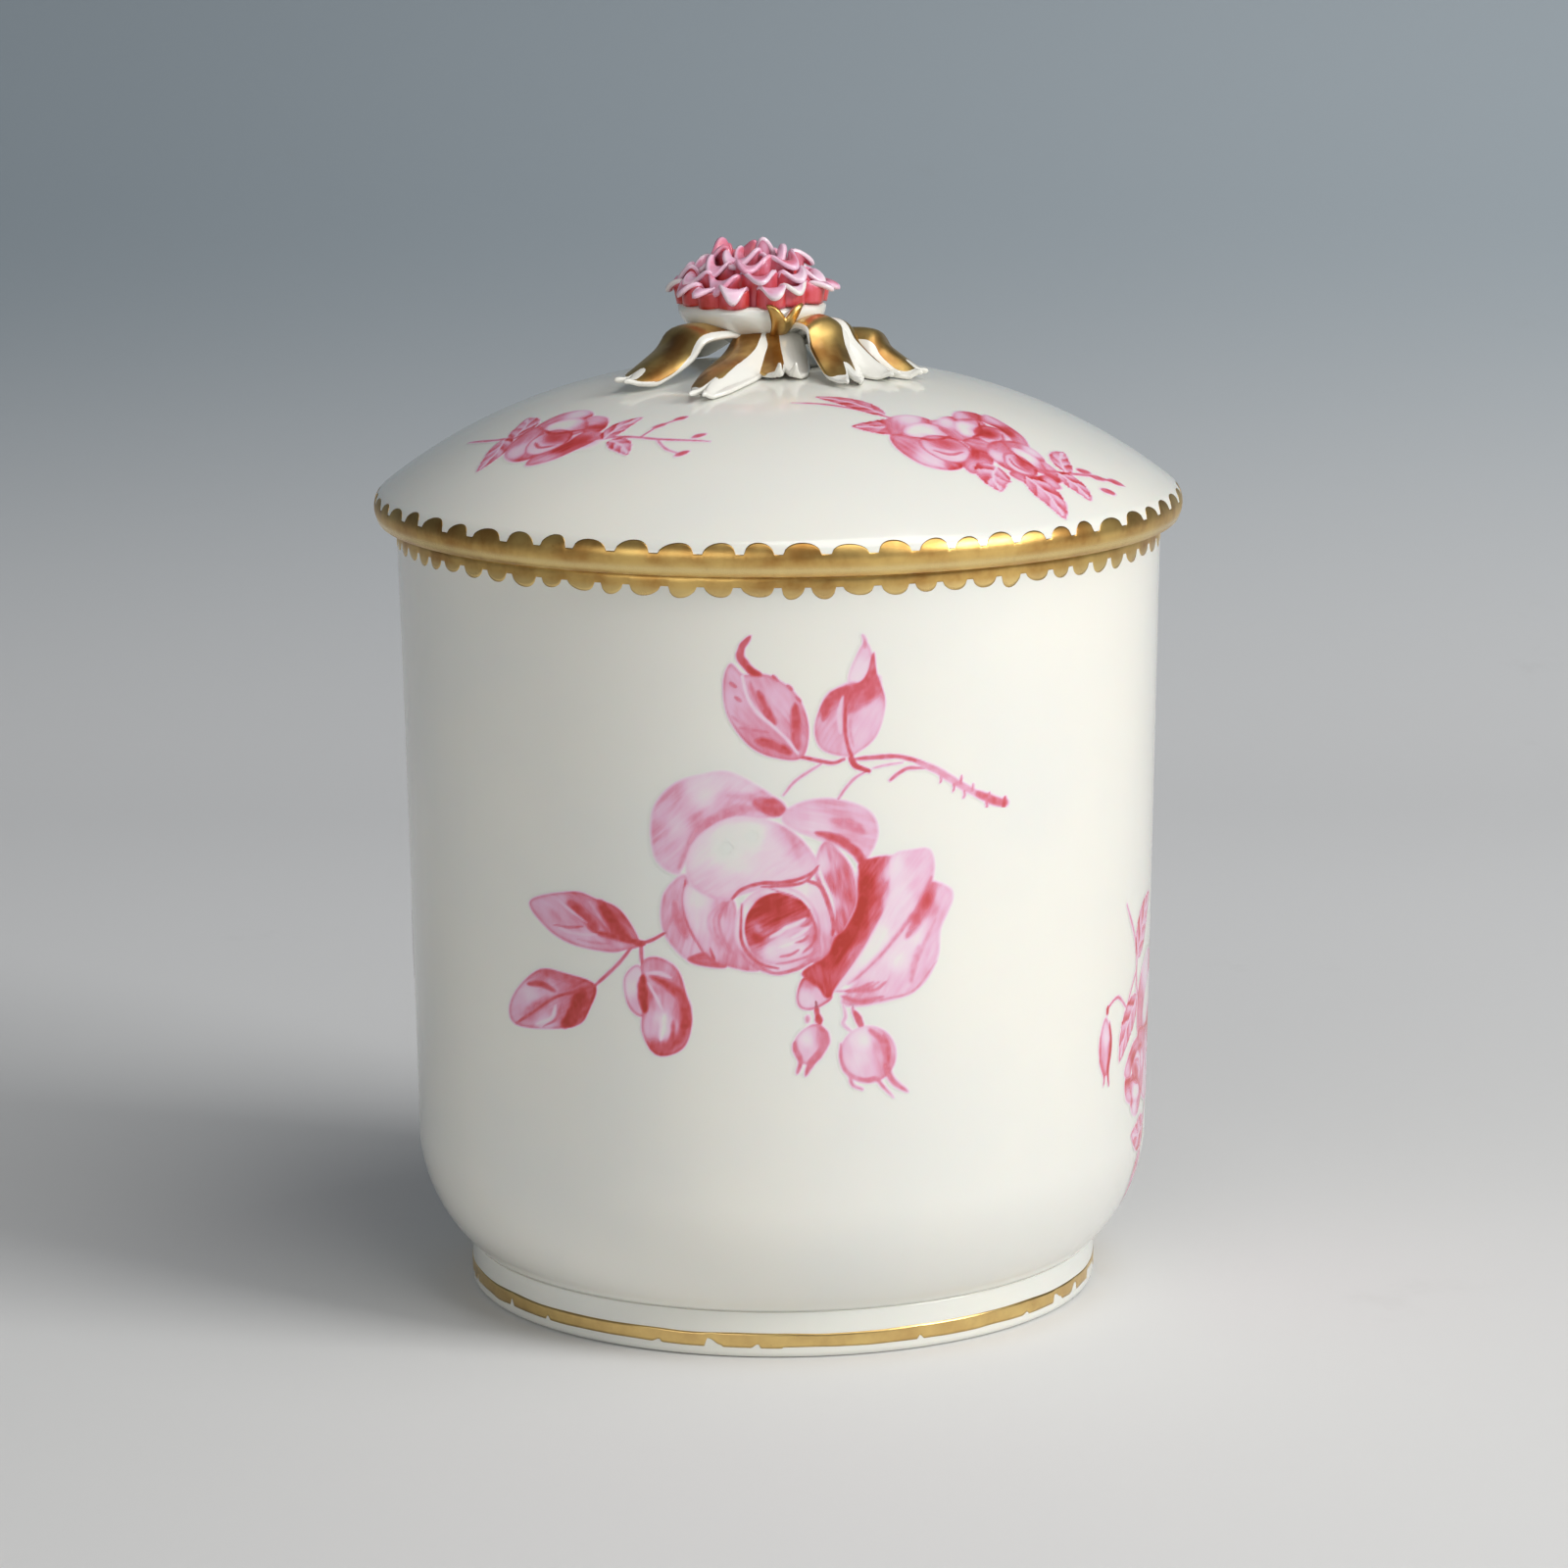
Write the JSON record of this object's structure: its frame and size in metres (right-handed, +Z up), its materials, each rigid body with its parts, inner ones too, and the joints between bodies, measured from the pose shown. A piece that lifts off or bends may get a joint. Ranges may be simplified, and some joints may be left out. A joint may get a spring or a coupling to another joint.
{
  "type": "covered powder jar",
  "caption": "Footed porcelain powder jar with a domed lift-off cover, a flower knob on gilded leaves, painted rose sprays and scalloped gilt edges.",
  "frame": {"origin": "centre of the circle that the foot ring stands on", "axes": "+Z up along the pot's axis; -Y is the front with the large painted rose; +X to the viewer's right"},
  "size_m": [0.071, 0.071, 0.0935],
  "materials": {
    "porcelain": "creamy white soft-paste porcelain under a glossy glaze",
    "gilded_porcelain": "porcelain with fired gilding on the upper face",
    "painted_petal": "porcelain petal washed with crimson enamel, white at the rim"
  },
  "bodies": {
    "jar": {"jar_body": "porcelain", "foot_ring": "porcelain"},
    "lid": {"lid_dome": "porcelain", "lid_flange": "porcelain", "knob_stem": "porcelain", "flower_cup": "porcelain", "sepal": "gilded_porcelain", "leaf_1": "gilded_porcelain", "leaf_2": "gilded_porcelain", "leaf_3": "gilded_porcelain", "leaf_4": "gilded_porcelain", "leaf_5": "gilded_porcelain", "leaf_6": "gilded_porcelain", "leaf_7": "gilded_porcelain", "leaf_8": "gilded_porcelain", "petal_row1_1": "painted_petal", "petal_row1_2": "painted_petal", "petal_row1_3": "painted_petal", "petal_row1_4": "painted_petal", "petal_row1_5": "painted_petal", "petal_row1_6": "painted_petal", "petal_row1_7": "painted_petal", "petal_row1_8": "painted_petal", "petal_row1_9": "painted_petal", "petal_row1_10": "painted_petal", "petal_row1_11": "painted_petal", "petal_row1_12": "painted_petal", "petal_row1_13": "painted_petal", "petal_row1_14": "painted_petal", "petal_row2_1": "painted_petal", "petal_row2_2": "painted_petal", "petal_row2_3": "painted_petal", "petal_row2_4": "painted_petal", "petal_row2_5": "painted_petal", "petal_row2_6": "painted_petal", "petal_row2_7": "painted_petal", "petal_row2_8": "painted_petal", "petal_row2_9": "painted_petal", "petal_row2_10": "painted_petal", "petal_row2_11": "painted_petal", "petal_row3_1": "painted_petal", "petal_row3_2": "painted_petal", "petal_row3_3": "painted_petal", "petal_row3_4": "painted_petal", "petal_row3_5": "painted_petal", "petal_row3_6": "painted_petal", "petal_row3_7": "painted_petal", "petal_row3_8": "painted_petal", "petal_row4_1": "painted_petal", "petal_row4_2": "painted_petal", "petal_row4_3": "painted_petal", "petal_row4_4": "painted_petal", "petal_row4_5": "painted_petal", "petal_row5_1": "painted_petal", "petal_row5_2": "painted_petal", "petal_row5_3": "painted_petal"}
  },
  "joints": [
    {"name": "lid_lift", "type": "slide", "parent": "jar", "child": "lid", "axis": [0, 0, 1], "range_m": [0, 0.06]}
  ]
}
